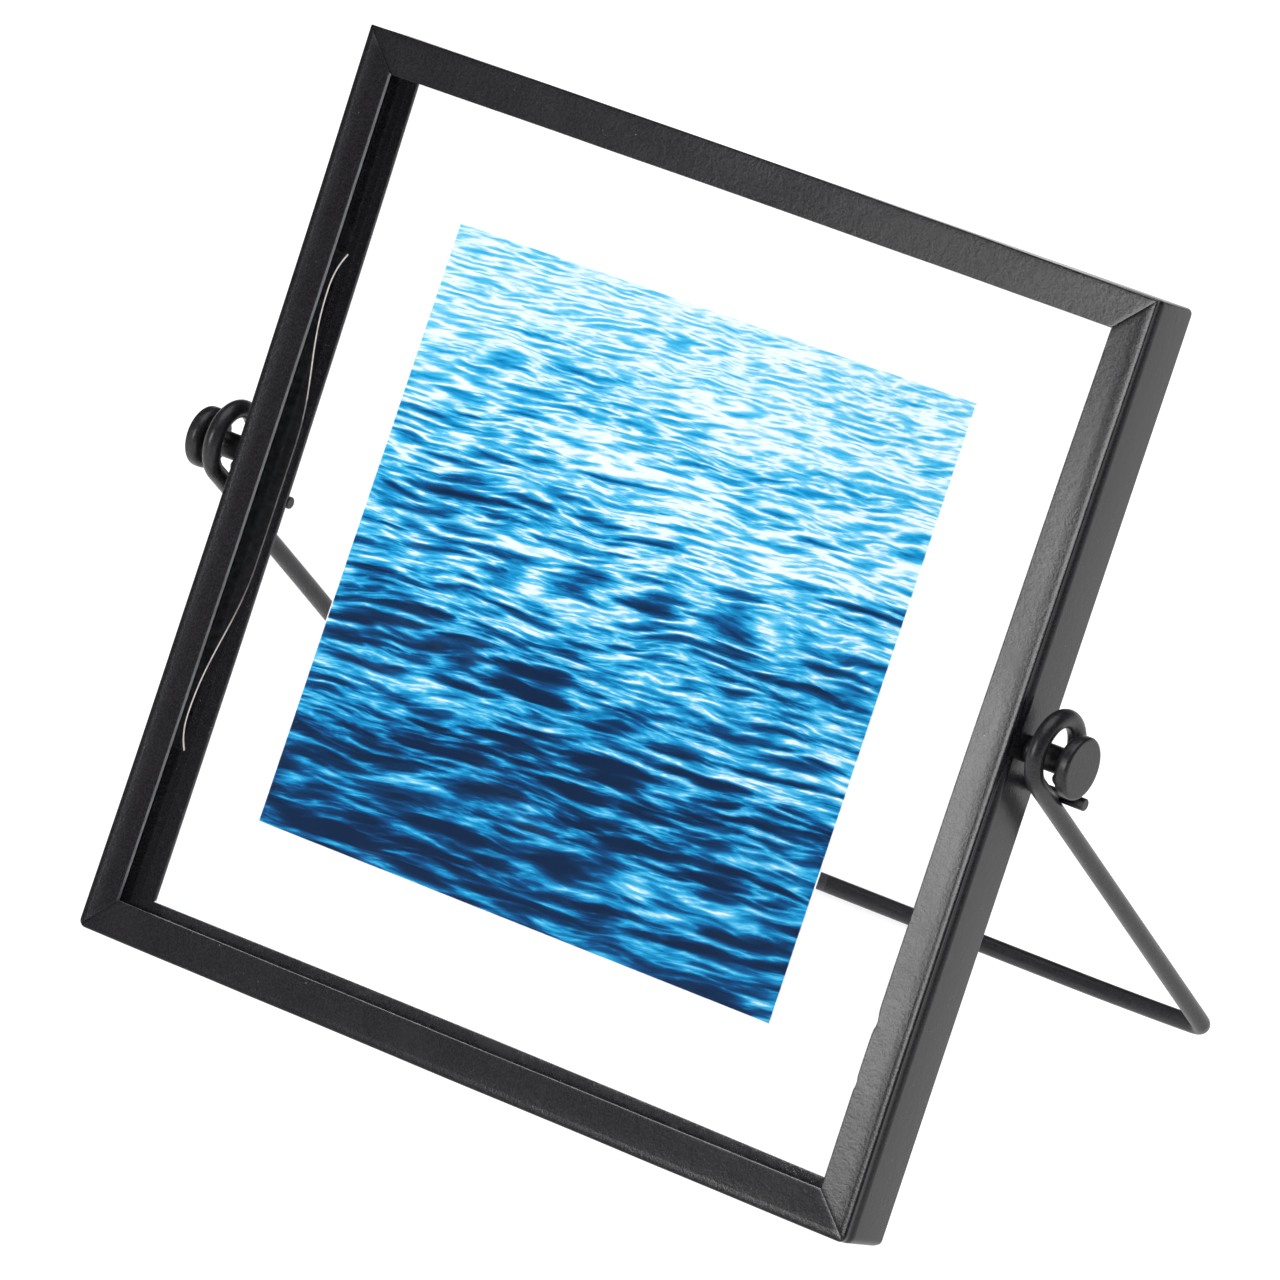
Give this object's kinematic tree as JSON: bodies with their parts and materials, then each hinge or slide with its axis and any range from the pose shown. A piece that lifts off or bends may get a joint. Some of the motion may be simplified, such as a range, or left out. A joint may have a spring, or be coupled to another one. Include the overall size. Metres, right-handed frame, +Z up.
{
  "type": "tabletop floating picture frame",
  "caption": "Square black metal channel frame holding a print between two clear glass panes, propped up by a hinged bent-wire easel stand.",
  "frame": {"origin": "on the table plane, under the middle of the whole object's box, with the stand open against its stops", "axes": "+X to the viewer's right along the frame, -Y towards the viewer, +Z up from the table"},
  "size_m": [0.1716, 0.0962, 0.1391],
  "materials": {
    "frame_paint": "satin black powder coat with a fine orange-peel grain",
    "stud_paint": "satin black coat on turned steel",
    "wire_paint": "smooth satin black coat on steel wire",
    "spring_steel": "darkened spring steel strip",
    "washer_steel": "plain steel",
    "glass": "clear float glass with ground edges",
    "print": "glossy photographic print of open water"
  },
  "bodies": {
    "frame": {"rail_bottom": "frame_paint", "rail_top": "frame_paint", "rail_left": "frame_paint", "rail_right": "frame_paint", "weld_bottom_left": "frame_paint", "weld_top_left": "frame_paint", "weld_top_right": "frame_paint", "weld_bottom_right": "frame_paint", "front_pane": "glass", "back_pane": "glass", "photo_print": "print", "spring_left": "spring_steel", "spring_right": "spring_steel", "stud_left": "stud_paint", "stud_right": "stud_paint", "washer_left": "washer_steel", "washer_right": "washer_steel", "stop_pin_left": "wire_paint", "stop_pin_right": "wire_paint"},
    "stand": {"stand_wire": "wire_paint"}
  },
  "joints": [
    {"name": "stand_hinge", "type": "hinge", "parent": "frame", "child": "stand", "pos_m": [0, -0.00562, 0.07333], "axis": [-1, 0, 0], "range_deg": [0, 67.41]}
  ]
}
